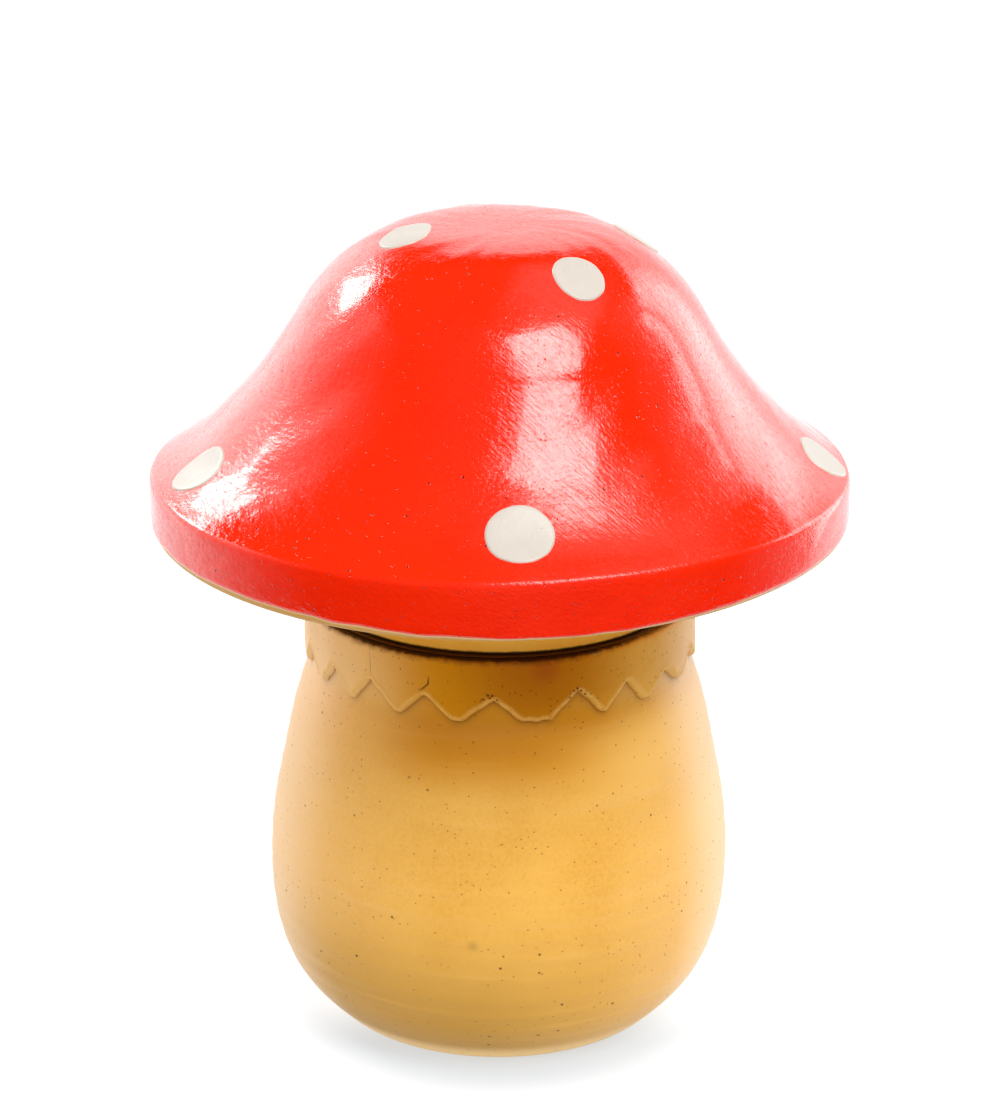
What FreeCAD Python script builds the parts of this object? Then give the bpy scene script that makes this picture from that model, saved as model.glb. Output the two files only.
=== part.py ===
import FreeCAD, Part
import math
import os

# Lidded jar in ceramic in the form of a mushroom. The stem is a thrown, hollow bulb that
# stands on its foot ring, with a collar of hand-cut teeth round its neck. The spotted cap is
# the lid: it rests on the rim of the jar and lifts straight off. Millimetres, Z up. The origin
# is the middle of the foot ring, on the surface that the jar stands on. The front is -Y.

# Bulb of the jar
foot_radius = 21.0
belly_radius = 28.6
belly_height = 18.8
neck_radius = 23.4
seat_height = 54.2
jar_wall = 3.6
floor_thickness = 5.0
floor_corner_radius = 4.0
foot_ring_width = 5.5
foot_recess_depth = 1.2
foot_recess_corner = 0.8
foot_edge_round = 0.8
rim_outer_round = 1.0
rim_inner_round = 0.7
# Each pair is a share of the way out and a share of the way up
lower_flank_shares = ((0.61, 0.285), (0.89, 0.57))
# Each pair is a share of the way back in and a share of the way up
upper_flank_shares = ((0.113, 0.294), (0.31, 0.490), (0.52, 0.687), (0.79, 0.883))

# Collar of clay round the neck, cut into teeth along its lower edge
collar_thickness = 0.75
collar_drop = 0.8
collar_edge_round = 0.5
collar_height = 7.35
tooth_length = 3.6
tooth_tip_width = 1.3
tooth_bevel = 0.35
# How much rounder than the bevel the tips and the peaks of the notches are
tip_fullness = 0.25
peak_fullness = 0.15
first_tip_angle = -64.5
# Going round from the first tip: width of each tip and of the gap after it, depth of the gap's
# notch and the place of the notch's peak across the gap. The first seven are those at the front.
tip_width_shares = (1.00, 1.00, 1.00, 1.15, 2.80, 1.00, 1.00, 1.00, 1.20, 1.00,
                    1.10, 1.00, 1.40, 1.00, 1.05, 1.25, 1.00, 1.00, 1.10, 1.00)
tooth_width_shares = (0.90, 1.00, 1.00, 1.24, 1.21, 0.88, 1.06, 1.02, 1.08, 0.94,
                      1.03, 0.90, 1.10, 0.96, 0.92, 1.06, 0.98, 0.93, 1.02, 0.90)
notch_depth_shares = (0.84, 0.94, 0.82, 0.77, 0.91, 0.88, 0.72, 0.78, 0.86, 0.92,
                      0.88, 0.80, 0.95, 0.88, 0.82, 0.90, 0.95, 0.84, 0.80, 0.86)
notch_peak_shares = (0.52, 0.47, 0.47, 0.48, 0.60, 0.51, 0.48, 0.48, 0.54, 0.50,
                     0.44, 0.56, 0.49, 0.52, 0.47, 0.53, 0.45, 0.55, 0.50, 0.46)

# Cap of the lid: a hollow bell with an upright band round its brim
brim_radius = 42.25
bell_rise = 30.05
band_height = 5.95
band_bulge = 0.35
cap_wall = 4.2
brim_width = 4.85
crease_round = 0.5
band_edge_round = 0.6
# Each pair is a share of the brim's radius and a share of the bell's rise
bell_shares = ((0.164, 0.992), (0.3035, 0.967), (0.4205, 0.901), (0.514, 0.784),
               (0.607, 0.5855), (0.700, 0.384), (0.7935, 0.238), (0.8985, 0.1015))

# Underside of the lid: a plate inside the brim, and a ring that sits on the rim of the jar
# and reaches into its mouth
plate_thickness = 3.0
ring_inset = 0.7
ring_height = 9.8
ring_root_round = 2.0
ring_edge_round = 0.5
ring_wall = 3.2
spigot_length = 5.5
spigot_clearance = 0.5
spigot_edge_round = 0.8

# Spots of thick white glaze on the cap
spot_thickness = 0.3
spot_bevel = 0.2
lower_spot_inset = 5.85
lower_spot_length = 7.9
lower_spot_width = 7.5
lower_spot_angles = (3.5, 84.9, 151.0, -141.0, -71.6)
# How far in from the brim each lower spot lies, and how long and wide it is, as shares of
# the sizes above. The turn is from level to its long way, as it is seen from outside.
lower_inset_shares = (1.00, 0.66, 0.92, 0.96, 0.84)
lower_length_shares = (0.99, 1.04, 1.00, 0.98, 1.00)
lower_width_shares = (1.00, 0.88, 0.96, 1.00, 0.97)
lower_spot_turns = (0, 0, 20, -15, -38)
upper_spot_place = 16.7
upper_spot_length = 7.4
upper_spot_width = 6.25
upper_spot_angles = (33.7, 109.0, -165.0, -76.8)
# How far out from the axis each upper spot lies, and how long and wide it is, in the same way
upper_place_shares = (1.00, 1.04, 0.98, 0.67)
upper_length_shares = (1.00, 0.95, 0.92, 1.10)
upper_width_shares = (1.00, 1.00, 0.96, 0.91)
upper_spot_turns = (-67, 25, 10, 37)

# How far a cutting shape runs past what it cuts
overrun = 2.0
# Steps along an outline when a wall or a layer follows it
outline_steps = 14

mouth_radius = neck_radius - jar_wall
collar_radius = neck_radius + collar_thickness
collar_top = seat_height - collar_drop
collar_foot = collar_top - collar_height
neck_height = collar_foot
tooth_tip_round = tooth_bevel + tip_fullness
notch_peak_round = tooth_bevel + peak_fullness
brim_height = seat_height + ring_height
crease_height = brim_height + band_height
crown_height = crease_height + bell_rise
plate_radius = brim_radius - brim_width
ring_radius = neck_radius - ring_inset
spigot_radius = mouth_radius - spigot_clearance
bore_radius = spigot_radius - ring_wall

axis_point = FreeCAD.Vector(0, 0, 0)
upward = FreeCAD.Vector(0, 0, 1)
outward = FreeCAD.Vector(1, 0, 0)


def at(radius, height):
    """Point of a half section, in the XZ plane."""
    return FreeCAD.Vector(radius, 0, height)


def smooth_curve(points, first_tangent=None, last_tangent=None):
    """Curve through points, with a set direction at either end if one is given."""
    tangents = [FreeCAD.Vector(0, 0, 0) for point in points]
    flags = [False for point in points]
    if first_tangent is not None:
        tangents[0] = first_tangent
        flags[0] = True
    if last_tangent is not None:
        tangents[-1] = last_tangent
        flags[-1] = True
    curve = Part.BSplineCurve()
    curve.interpolate(Points=points, Tangents=tangents, TangentFlags=flags)
    return curve


def beside(curve, distance):
    """Curve that keeps a distance from another one, on its right as it is followed."""
    points = []
    for step in range(outline_steps + 1):
        span = curve.LastParameter - curve.FirstParameter
        parameter = curve.FirstParameter + span * step / outline_steps
        along = curve.tangent(parameter)[0]
        points.append(curve.value(parameter) + FreeCAD.Vector(along.z, 0, -along.x) * distance)
    return smooth_curve(points)


def turned(edges):
    """Solid of revolution of a closed half section."""
    wire = Part.Wire(Part.__sortEdges__(edges))
    return Part.Face(wire).revolve(axis_point, upward, 360)


def line(start, end):
    return Part.LineSegment(start, end).toShape()


def arc(start, middle, end):
    return Part.Arc(start, middle, end).toShape()


def tube(outer_radius, inner_radius, low, high):
    """Plain ring about the axis."""
    outer = Part.makeCylinder(outer_radius, high - low, at(0, low))
    inner = Part.makeCylinder(inner_radius, high - low, at(0, low))
    return outer.cut(inner)


def rounded(solid, round_radius, height, radius=None):
    """Solid with its level edge at one height, and at one radius if that is given, rounded."""
    reach = round_radius / 4
    edges = []
    for edge in solid.Edges:
        start = edge.valueAt(edge.FirstParameter)
        middle = edge.valueAt((edge.FirstParameter + edge.LastParameter) / 2)
        if abs(start.z - height) > reach or abs(middle.z - height) > reach:
            continue
        if radius is None or abs(math.hypot(start.x, start.y) - radius) < reach:
            edges.append(edge)
    return solid.makeFillet(round_radius, edges)


def lower_flank():
    """Outline of the bulb from the foot up to the belly."""
    points = [at(foot_radius, 0)]
    for out_share, up_share in lower_flank_shares:
        radius = foot_radius + out_share * (belly_radius - foot_radius)
        points.append(at(radius, up_share * belly_height))
    points.append(at(belly_radius, belly_height))
    return smooth_curve(points, last_tangent=upward)


def upper_flank():
    """Outline of the bulb from the belly up to the neck."""
    points = [at(belly_radius, belly_height)]
    for in_share, up_share in upper_flank_shares:
        radius = belly_radius - in_share * (belly_radius - neck_radius)
        height = belly_height + up_share * (neck_height - belly_height)
        points.append(at(radius, height))
    points.append(at(neck_radius, neck_height))
    return smooth_curve(points, first_tangent=upward)


def bulb_outside():
    edges = [lower_flank().toShape(), upper_flank().toShape()]
    edges.append(line(at(neck_radius, neck_height), at(neck_radius, seat_height)))
    edges.append(line(at(neck_radius, seat_height), at(0, seat_height)))
    edges.append(line(at(0, seat_height), at(0, 0)))
    edges.append(line(at(0, 0), at(foot_radius, 0)))
    return turned(edges)


def bulb_hollow():
    """Space inside the jar, a wall's width in from its outside and open at the mouth."""
    lower = beside(lower_flank(), -jar_wall)
    upper = beside(upper_flank(), -jar_wall)
    start = lower.value(lower.FirstParameter)
    end = upper.value(upper.LastParameter)
    top = seat_height + overrun
    edges = [lower.toShape(), upper.toShape()]
    edges.append(line(end, at(mouth_radius, neck_height)))
    edges.append(line(at(mouth_radius, neck_height), at(mouth_radius, top)))
    edges.append(line(at(mouth_radius, top), at(0, top)))
    edges.append(line(at(0, top), at(0, start.z)))
    edges.append(line(at(0, start.z), start))
    return turned(edges)


def jar_body():
    hollow = bulb_hollow()
    above_floor = Part.makeCylinder(belly_radius, seat_height + overrun, at(0, floor_thickness))
    hollow = rounded(hollow.common(above_floor), floor_corner_radius, floor_thickness)
    recess_radius = foot_radius - foot_ring_width
    recess = Part.makeCylinder(recess_radius, foot_recess_depth + overrun, at(0, -overrun))
    recess = rounded(recess, foot_recess_corner, foot_recess_depth, recess_radius)
    body = bulb_outside().cut(hollow).cut(recess)
    body = rounded(body, foot_edge_round, 0, foot_radius)
    body = rounded(body, rim_outer_round, seat_height, neck_radius)
    return rounded(body, rim_inner_round, seat_height, mouth_radius)


def tooth_notch(left, peak, right, depth):
    """Wedge that parts two teeth. The angles are those of its corners and its peak."""
    left_x = collar_radius * math.sin(math.radians(left - peak))
    right_x = collar_radius * math.sin(math.radians(right - peak))
    top = collar_foot + depth
    corners = [(left_x, collar_foot - overrun), (left_x, collar_foot), (0, top),
               (right_x, collar_foot), (right_x, collar_foot - overrun)]
    points = [FreeCAD.Vector(x, -neck_radius / 2, z) for x, z in corners]
    points.append(points[0])
    face = Part.Face(Part.makePolygon(points))
    wedge = face.extrude(FreeCAD.Vector(0, -neck_radius, 0))
    wedge.rotate(axis_point, upward, peak)
    return wedge


def through_edges(collar, lowest, highest):
    """Edges that run through the collar's wall between two heights."""
    edges = []
    for edge in collar.Edges:
        ends = [vertex.Point for vertex in edge.Vertexes]
        inside = all(lowest < end.z < highest for end in ends)
        length = ends[0].distanceToPoint(ends[-1])
        if inside and abs(length - collar_thickness) < collar_thickness / 4:
            edges.append(edge)
    return edges


def tooth_edges(collar):
    """Edges of the teeth and notches on the outside of the collar."""
    edges = []
    for edge in collar.Edges:
        middle = edge.valueAt((edge.FirstParameter + edge.LastParameter) / 2)
        outside = abs(math.hypot(middle.x, middle.y) - collar_radius) < collar_thickness / 4
        if outside and middle.z < collar_foot + tooth_length + notch_peak_round:
            edges.append(edge)
    return edges


def tooth_collar():
    collar = tube(collar_radius, neck_radius, collar_foot, collar_top)
    collar = rounded(collar, collar_edge_round, collar_top, collar_radius)
    degree_per_share = 360 / sum(tooth_width_shares)
    half_tip = math.degrees(tooth_tip_width / 2 / collar_radius)
    half_tips = [share * half_tip for share in tip_width_shares]
    next_half_tips = half_tips[1:] + half_tips[:1]
    angle = first_tip_angle
    notches = []
    for width, depth, peak, half, next_half in zip(tooth_width_shares, notch_depth_shares, notch_peak_shares,
                                                   half_tips, next_half_tips):
        gap = width * degree_per_share
        notches.append(tooth_notch(angle + half, angle + peak * gap,
                                   angle + gap - next_half, depth * tooth_length))
        angle = angle + gap
    collar = collar.cut(notches)
    tip_top = collar_foot + tooth_tip_round
    collar = collar.makeFillet(tooth_tip_round, through_edges(collar, collar_foot - overrun, tip_top))
    collar = collar.makeFillet(notch_peak_round, through_edges(collar, tip_top, collar_top))
    return collar.makeChamfer(tooth_bevel, tooth_edges(collar))


def bell_curve():
    """Outline of the bell from its crown out to the crease above the band."""
    points = [at(0, crown_height)]
    for out_share, up_share in bell_shares:
        points.append(at(out_share * brim_radius, crease_height + up_share * bell_rise))
    points.append(at(brim_radius, crease_height))
    return smooth_curve(points, first_tangent=outward)


def under_bell(depth):
    """Solid below a curve that lies some depth under the outside of the bell."""
    curve = beside(bell_curve(), depth)
    top = curve.value(curve.FirstParameter)
    rim = curve.value(curve.LastParameter)
    low = brim_height - overrun
    edges = [curve.toShape()]
    edges.append(line(rim, at(rim.x, low)))
    edges.append(line(at(rim.x, low), at(0, low)))
    edges.append(line(at(0, low), top))
    return turned(edges)


def lid_cap():
    crease = at(brim_radius, crease_height)
    bulge = at(brim_radius + band_bulge, brim_height + band_height / 2)
    lip = at(brim_radius, brim_height)
    edges = [bell_curve().toShape(), arc(crease, bulge, lip)]
    edges.append(line(lip, at(0, brim_height)))
    edges.append(line(at(0, brim_height), at(0, crown_height)))
    bell = turned(edges)
    tall = crown_height - brim_height + overrun
    inside = Part.makeCylinder(plate_radius, tall, at(0, brim_height - overrun))
    cap = bell.cut(inside.common(under_bell(cap_wall)))
    cap = rounded(cap, crease_round, crease_height, brim_radius)
    return rounded(cap, band_edge_round, brim_height, brim_radius)


def lid_underside():
    return tube(plate_radius, bore_radius, brim_height, brim_height + plate_thickness)


def seat_ring():
    """Ring under the plate, with its spigot that keeps the lid in the middle of the mouth."""
    spigot_foot = seat_height - spigot_length
    root_low = brim_height - ring_root_round
    root_out = ring_radius + ring_root_round
    sag = ring_root_round * (1 - math.sqrt(0.5))
    root_middle = at(ring_radius + sag, brim_height - sag)
    root = arc(at(ring_radius, root_low), root_middle, at(root_out, brim_height))
    edges = [root, line(at(root_out, brim_height), at(bore_radius, brim_height))]
    edges.append(line(at(bore_radius, brim_height), at(bore_radius, spigot_foot)))
    edges.append(line(at(bore_radius, spigot_foot), at(spigot_radius, spigot_foot)))
    edges.append(line(at(spigot_radius, spigot_foot), at(spigot_radius, seat_height)))
    edges.append(line(at(spigot_radius, seat_height), at(ring_radius, seat_height)))
    edges.append(line(at(ring_radius, seat_height), at(ring_radius, root_low)))
    ring = rounded(turned(edges), ring_edge_round, seat_height, ring_radius)
    ring = rounded(ring, spigot_edge_round, spigot_foot, spigot_radius)
    return rounded(ring, spigot_edge_round, spigot_foot, bore_radius)


def glaze_layer():
    """Layer as thick as a spot that lies over the whole bell, with its seam at the far side."""
    inner = bell_curve()
    outer = beside(inner, -spot_thickness)
    edges = [inner.toShape(), outer.toShape()]
    edges.append(line(inner.value(inner.FirstParameter), outer.value(outer.FirstParameter)))
    edges.append(line(inner.value(inner.LastParameter), outer.value(outer.LastParameter)))
    layer = turned(edges)
    layer.rotate(axis_point, upward, 180)
    return layer


def top_edges(dab, curve):
    """Edges of a spot that lie on the top of the layer, and not on the cap."""
    edges = []
    for edge in dab.Edges:
        middle = edge.valueAt((edge.FirstParameter + edge.LastParameter) / 2)
        middle = at(math.hypot(middle.x, middle.y), middle.z)
        height = middle.distanceToPoint(curve.value(curve.parameter(middle)))
        if height > spot_thickness * 3 / 4:
            edges.append(edge)
    return edges


def spot(layer, angle, place, length, width, turn):
    """Oval piece of the layer. Its place is its distance from the axis."""
    curve = bell_curve()
    plumb = Part.Line(at(place, 0), at(place, crown_height))
    middle = curve.intersectCC(plumb)[0]
    middle = at(middle.X, middle.Z)
    along = curve.tangent(curve.parameter(middle))[0]
    sideways = FreeCAD.Vector(0, 1, 0)
    normal = along.cross(sideways)
    if normal.z < 0:
        normal = -normal
    long_way = sideways * math.cos(math.radians(turn)) + along * math.sin(math.radians(turn))
    start = middle - normal * length / 2
    end_point = start + long_way * length / 2
    side_point = start + long_way.cross(normal) * width / 2
    oval = Part.Ellipse(end_point, side_point, start)
    cutter = Part.Face(Part.Wire(oval.toShape())).extrude(normal * length)
    dab = layer.common(cutter)
    dab = dab.makeChamfer(spot_bevel, top_edges(dab, curve))
    dab.rotate(axis_point, upward, angle - 90)
    return dab


def lower_spots(layer):
    spots = []
    for angle, inset, length, width, turn in zip(lower_spot_angles, lower_inset_shares, lower_length_shares,
                                                 lower_width_shares, lower_spot_turns):
        place = brim_radius - inset * lower_spot_inset
        spots.append(spot(layer, angle, place, length * lower_spot_length, width * lower_spot_width, turn))
    return spots


def upper_spots(layer):
    spots = []
    for angle, place, length, width, turn in zip(upper_spot_angles, upper_place_shares, upper_length_shares,
                                                 upper_width_shares, upper_spot_turns):
        place = place * upper_spot_place
        spots.append(spot(layer, angle, place, length * upper_spot_length, width * upper_spot_width, turn))
    return spots


def all_pieces():
    pieces = {
        "jar_body": jar_body(),
        "tooth_collar": tooth_collar(),
        "lid_cap": lid_cap(),
        "lid_underside": lid_underside(),
        "seat_ring": seat_ring(),
    }
    layer = glaze_layer()
    for number, piece in enumerate(lower_spots(layer), 1):
        pieces["lower_spot_%d" % number] = piece
    for number, piece in enumerate(upper_spots(layer), 1):
        pieces["upper_spot_%d" % number] = piece
    return pieces


os.makedirs("parts", exist_ok=True)
for name, piece in all_pieces().items():
    piece.exportStep(os.path.join("parts", name + ".step"))
    box = piece.BoundBox
    print("%-14s %d solid  %8.1f mm3  valid %s" % (name, len(piece.Solids), piece.Volume, piece.isValid()),
          " x %.2f to %.2f  z %.2f to %.2f" % (box.XMin, box.XMax, box.ZMin, box.ZMax))
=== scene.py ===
import math

import bpy
import numpy as np
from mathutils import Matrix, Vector


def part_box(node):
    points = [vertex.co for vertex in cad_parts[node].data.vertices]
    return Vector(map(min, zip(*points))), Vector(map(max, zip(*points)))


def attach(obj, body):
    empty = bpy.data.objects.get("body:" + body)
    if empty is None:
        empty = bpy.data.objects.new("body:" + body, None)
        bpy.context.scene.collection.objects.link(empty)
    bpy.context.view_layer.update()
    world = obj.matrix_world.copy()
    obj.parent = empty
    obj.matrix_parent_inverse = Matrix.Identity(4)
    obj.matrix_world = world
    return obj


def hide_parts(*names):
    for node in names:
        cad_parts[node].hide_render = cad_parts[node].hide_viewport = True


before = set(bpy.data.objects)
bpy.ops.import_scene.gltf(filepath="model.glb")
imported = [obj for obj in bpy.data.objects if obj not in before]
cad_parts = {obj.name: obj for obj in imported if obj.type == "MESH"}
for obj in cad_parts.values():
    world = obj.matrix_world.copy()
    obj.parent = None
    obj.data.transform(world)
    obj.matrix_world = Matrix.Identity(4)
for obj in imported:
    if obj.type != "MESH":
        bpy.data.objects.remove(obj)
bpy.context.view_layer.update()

# Looks of the lidded jar in the form of a mushroom: a thrown bulb in ochre slip with a collar
# of hand-cut teeth, and a spotted cap in red glaze that is its lid. Shapes are worked out in
# millimetres, and each mesh is put into metres at the end. Angles go round from the front
# (-Y), with the right-hand side (+X) at 90 degrees.

metre = 1000.0


def corners(node):
    """Lowest and highest corner of a node of the frame, in millimetres."""
    low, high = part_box(node)
    return np.array(low) * metre, np.array(high) * metre


jar_high = corners("jar_body")[1]
collar_low = corners("tooth_collar")[0]
cap_low, cap_high = corners("lid_cap")
plate_high = corners("lid_underside")[1]

# Jar
seat_height = jar_high[2]
belly_radius = jar_high[0]
belly_height = 18.8
foot_radius = 21.0
neck_radius = 23.4
jar_wall = 3.6
mouth_radius = neck_radius - jar_wall
floor_thickness = 5.0
floor_corner = 4.0
foot_ring_width = 5.5
foot_recess = 1.2
foot_edge = 0.8
rim_outer = 1.0
rim_inner = 0.7
lower_flank_shares = ((0.61, 0.285), (0.89, 0.57))
upper_flank_shares = ((0.113, 0.294), (0.31, 0.490), (0.52, 0.687), (0.79, 0.883))
jar_columns = 720
# How far the foot stands off to the left, how far the bulb swells and how unevenly, and how deep
# the throwing rings are
jar_lean = 0.22
jar_swelling = 0.15
jar_unevenness = 0.06
ring_depth = 0.03

# Collar
collar_foot = collar_low[2]
collar_thickness = 0.75
collar_edge = 0.6
# The collar's top lies almost level with the seat, so that little of the gap shows
collar_top = seat_height - 0.1
tooth_length = 3.6
tooth_tip_width = 1.3
tooth_bevel = 0.85
collar_columns = 1440
first_tip_angle = -64.5
tip_width_shares = (1.00, 0.70, 0.70, 1.15, 2.80, 0.60, 0.80, 1.00, 1.20, 1.00,
                    1.10, 1.00, 1.40, 1.00, 1.05, 1.25, 1.00, 1.00, 1.10, 1.00)
tooth_width_shares = (0.90, 1.00, 1.00, 1.29, 1.16, 0.88, 1.06, 1.02, 1.08, 0.94,
                      1.03, 0.90, 1.10, 0.96, 0.92, 1.06, 0.98, 0.93, 1.02, 0.90)
notch_depth_shares = (0.84, 0.94, 0.82, 0.77, 0.91, 0.88, 0.72, 0.78, 0.86, 0.92,
                      0.88, 0.80, 0.95, 0.88, 0.82, 0.90, 0.95, 0.84, 0.80, 0.86)
notch_peak_shares = (0.52, 0.47, 0.47, 0.48, 0.60, 0.51, 0.48, 0.48, 0.54, 0.50,
                     0.44, 0.56, 0.49, 0.52, 0.47, 0.53, 0.45, 0.55, 0.50, 0.46)

# Cap
crown_height = cap_high[2]
brim_height = cap_low[2]
brim_radius = 42.25
band_radius = 42.4
band_height = 6.35
crease_height = brim_height + band_height
bell_rise = crown_height - crease_height
plate_radius = plate_high[0]
cap_wall = 4.2
cap_columns = 960
# How far from the crown, along the bell, a slight ledge runs across its front, and its depth
ledge_place = 29.3
ledge_depth = 0.055
dent_size = 0.045
crease_round = 0.4
band_edge = 0.6
paint_thickness = 0.12
bell_shares = ((0.164, 0.9975), (0.235, 0.9905), (0.3035, 0.9735), (0.4205, 0.8887), (0.514, 0.772),
               (0.607, 0.575), (0.700, 0.375), (0.7935, 0.2225), (0.8985, 0.083))

# Spots of thick glaze. The shares run from the middle over the edge and back under the dab: how
# far out, of the half length, and how high, of the thickness.
spot_thickness = 0.2
spot_columns = 96
spot_out_shares = (0, 0.2, 0.4, 0.6, 0.75, 0.85, 0.91, 0.945, 0.965, 0.98, 0.992, 1.002, 1.012, 1.03,
                   0.9, 0.5, 0)
spot_rise_shares = (0.9, 0.9, 0.92, 0.96, 1.0, 1.0, 0.98, 0.92, 0.82, 0.66, 0.45, 0.2, 0.02, -0.2,
                    -0.5, -0.5, -0.5)

# Camera, from the photograph: its place, how far it looks down and its focal length in pixels
photo_width = 1000
photo_height = 1100
camera_place = np.array([0.0, -400.0, 207.95])
camera_drop = 20.43
camera_focal = 3473.6

# Lamps, in metres: how far off they stand, and the height on the object that they face
lamp_distance = 1.8
lamp_target = 0.07


# Lines of points in a half section. Each point is a radius and a height.

def straight(start, end, spacing):
    """Evenly spaced points on a straight line."""
    start, end = np.array(start, float), np.array(end, float)
    count = max(1, math.ceil(np.linalg.norm(end - start) / spacing))
    return start + (end - start) * np.linspace(0, 1, count + 1)[:, None]


def flowing(points, spacing, first=None, last=None):
    """Points on a smooth curve through a few given ones, with a set direction at either end."""
    points = np.array(points, float)
    spans = np.linalg.norm(np.diff(points, axis=0), axis=1)
    slopes = np.diff(points, axis=0) / spans[:, None]
    count = len(points)
    weights = np.zeros((count, count))
    sums = np.zeros((count, 2))
    for i in range(1, count - 1):
        weights[i, i - 1:i + 2] = 1 / spans[i - 1], 2 / spans[i - 1] + 2 / spans[i], 1 / spans[i]
        sums[i] = 3 * (slopes[i - 1] / spans[i - 1] + slopes[i] / spans[i])
    weights[0, :2] = 2, 1
    sums[0] = 3 * slopes[0]
    weights[-1, -2:] = 1, 2
    sums[-1] = 3 * slopes[-1]
    if first is not None:
        weights[0] = np.eye(count)[0]
        sums[0] = first
    if last is not None:
        weights[-1] = np.eye(count)[-1]
        sums[-1] = last
    tangents = np.linalg.solve(weights, sums)
    pieces = []
    for i, span in enumerate(spans):
        t = np.linspace(0, 1, math.ceil(span / spacing) + 1)[:-1, None]
        pieces.append(points[i] * (2 * t ** 3 - 3 * t ** 2 + 1)
                      + tangents[i] * span * (t ** 3 - 2 * t ** 2 + t)
                      + points[i + 1] * (3 * t ** 2 - 2 * t ** 3)
                      + tangents[i + 1] * span * (t ** 3 - t ** 2))
    return np.vstack(pieces + [points[-1:]])


def square_to(line):
    """Directions square to a line of points, on its left as it is followed."""
    along = np.gradient(line, axis=0)
    along /= np.linalg.norm(along, axis=1)[:, None]
    return np.stack([-along[:, 1], along[:, 0]], axis=1)


def joined(first, second, reach, steps=8):
    """Two lines that meet in a corner, as one line whose corner is rounded off."""
    corner = first[-1]
    before = first[np.linalg.norm(first - corner, axis=1) > reach]
    after = second[np.linalg.norm(second - corner, axis=1) > reach]
    t = np.linspace(0, 1, steps + 1)[:, None]
    start = corner + (before[-1] - corner) * reach / np.linalg.norm(before[-1] - corner)
    end = corner + (after[0] - corner) * reach / np.linalg.norm(after[0] - corner)
    bend = (1 - t) ** 2 * start + 2 * t * (1 - t) * corner + t ** 2 * end
    return np.vstack([before, bend, after])


def lengths(line):
    """How far along a line each of its points lies."""
    steps = np.linalg.norm(np.diff(line, axis=0), axis=1)
    return np.concatenate([[0], np.cumsum(steps)])


def smooth_step(values, low, high):
    share = np.clip((values - low) / (high - low), 0, 1)
    return share * share * (3 - 2 * share)


def wobble(angle, seed, size, first=2, last=9):
    """Uneven wave round the axis, such as a hand leaves, of about a given size."""
    random = np.random.default_rng(seed)
    total = np.zeros_like(angle)
    for waves in range(first, last + 1):
        total = total + random.normal() * np.sin(waves * angle + random.uniform(0, 2 * math.pi))
    return total * size / math.sqrt(last - first + 1)


def hump(angle, middle, width):
    """Smooth hump round the axis, 1 at its middle. The middle and the width are in degrees."""
    away = (np.degrees(angle) - middle + 180) % 360 - 180
    return np.exp(-(away / width) ** 2)


def around(columns):
    return np.radians(np.arange(columns) * 360.0 / columns - 180.0)


def placed(radius, height, angle):
    """Points at a radius, a height and an angle round the axis."""
    return np.stack([radius * np.sin(angle), -radius * np.cos(angle), height], axis=-1)


# Half sections

def jar_outside():
    """Outside of the jar from its seat down to its foot."""
    lower = [(foot_radius, 0)]
    for out_share, up_share in lower_flank_shares:
        radius = foot_radius + out_share * (belly_radius - foot_radius)
        lower.append((radius, up_share * belly_height))
    lower.append((belly_radius, belly_height))
    upper = [(belly_radius, belly_height)]
    for in_share, up_share in upper_flank_shares:
        radius = belly_radius - in_share * (belly_radius - neck_radius)
        upper.append((radius, belly_height + up_share * (collar_foot - belly_height)))
    upper.append((neck_radius, collar_foot))
    lower = flowing(lower, 0.4, last=(0, 1))
    upper = flowing(upper, 0.4, first=(0, 1))
    neck = straight((neck_radius, collar_foot), (neck_radius, seat_height), 0.25)
    return joined(np.vstack([lower[:-1], upper]), neck, 0.9)[::-1]


def jar_section():
    """Whole section of the jar, from the middle of its floor to the middle of its foot."""
    outside = jar_outside()
    inside = (outside - square_to(outside) * jar_wall)[::-3]
    inside = inside[inside[:, 1] > floor_thickness]
    inside = inside[inside[:, 1] < seat_height - rim_outer]
    bottom = inside[0] * (1, 0) + (0, floor_thickness)
    mouth = inside[-1] * (1, 0) + (0, seat_height)
    recess_radius = foot_radius - foot_ring_width
    line = straight((0, floor_thickness), bottom, 1.2)
    line = joined(line, np.vstack([bottom, inside, mouth]), floor_corner)
    line = joined(line, straight(mouth, (neck_radius, seat_height), 0.4), rim_inner)
    line = joined(line, outside, rim_outer)
    line = joined(line, straight((foot_radius, 0), (recess_radius, 0), 0.5), foot_edge)
    line = joined(line, straight((recess_radius, 0), (recess_radius, foot_recess), 0.3), 0.3)
    return joined(line, straight((recess_radius, foot_recess), (0, foot_recess), 1.2), 0.6)


def bell_outside():
    """Outside of the bell from its crown to the crease above the band."""
    points = [(0, crown_height)]
    for out_share, up_share in bell_shares:
        points.append((out_share * brim_radius, crease_height + up_share * bell_rise))
    points.append((brim_radius, crease_height))
    return flowing(points, 0.35, first=(1, 0))


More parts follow.
